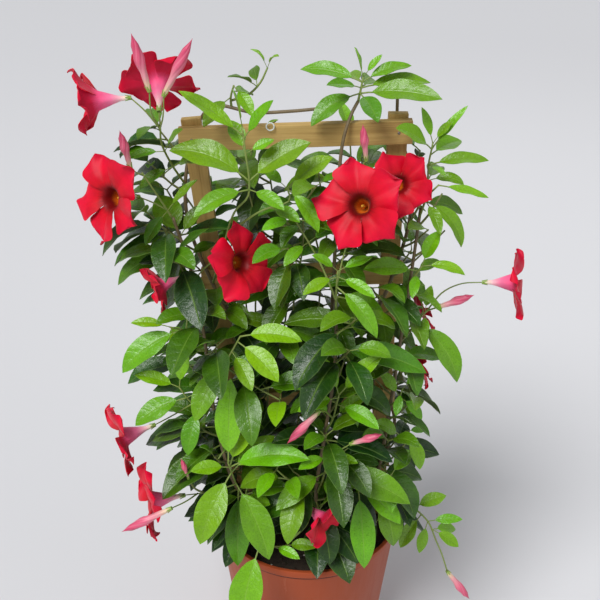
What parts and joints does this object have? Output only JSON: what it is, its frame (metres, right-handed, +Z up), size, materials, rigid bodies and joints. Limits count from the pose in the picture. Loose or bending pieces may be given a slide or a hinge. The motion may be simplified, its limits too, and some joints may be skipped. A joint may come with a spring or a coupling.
{
  "type": "potted mandevilla",
  "caption": "Climbing mandevilla with glossy opposite leaves, red trumpet flowers and furled pink buds on a small wooden ladder trellis in a round nursery pot.",
  "frame": {"origin": "centre of the pot's flat base, on the surface that it stands on", "axes": "+Z up, +X to the right and -Y to the front of the trellis, whose rails face the viewer"},
  "size_m": [0.5062, 0.33, 0.8923],
  "materials": {
    "pot": "terracotta-coloured moulded plastic, satin",
    "soil": "dark moist potting mix with a few pale grains",
    "wood": "plain sawn pine slat, unvarnished",
    "vine": "brown stem with old dark green glossy leaves",
    "leaf": "green stem with glossy, quilted leaves",
    "petal": "velvety deep red petals, pink outside the tube",
    "bud": "furled pink bud with a pale green foot"
  },
  "bodies": {
    "root": {"pot": "pot", "trellis_post_left": "wood", "trellis_post_right": "wood", "trellis_rail_top": "wood", "trellis_rail_upper": "wood", "trellis_rail_lower": "wood", "trellis_rail_bottom": "wood", "shoot_high_left": "leaf", "shoot_rail_left": "leaf", "shoot_top": "leaf", "shoot_high_right": "leaf", "shoot_right_upper": "leaf", "shoot_right": "leaf", "shoot_right_low": "leaf", "shoot_centre": "leaf", "shoot_centre_low": "leaf", "shoot_centre_high": "leaf", "shoot_left_high": "leaf", "shoot_left_top": "leaf", "shoot_left": "leaf", "shoot_left_low": "leaf", "shoot_mid_left": "leaf", "shoot_bright": "leaf", "shoot_front_right": "leaf", "shoot_front": "leaf", "shoot_trailing": "leaf", "shoot_back_left": "leaf", "shoot_back_right": "leaf", "shoot_bud_high": "leaf", "vine_left": "vine", "vine_right": "vine", "vine_centre": "vine", "vine_front": "vine", "vine_front_left": "vine", "vine_front_right": "vine", "bloom_left_top": "petal", "bloom_top_back": "petal", "bloom_left_high": "petal", "bloom_left": "petal", "bloom_face": "petal", "bloom_centre": "petal", "bloom_behind": "petal", "bloom_right": "petal", "bloom_right_hidden": "petal", "bloom_right_low": "petal", "bloom_left_low": "petal", "bloom_left_rim": "petal", "bloom_front": "petal", "bud_top_left": "bud", "bud_top": "bud", "bud_left": "bud", "bud_high": "bud", "bud_right": "bud", "bud_centre": "bud", "bud_centre_right": "bud", "bud_left_rim": "bud", "bud_trailing": "bud", "soil": "soil"}
  },
  "joints": []
}
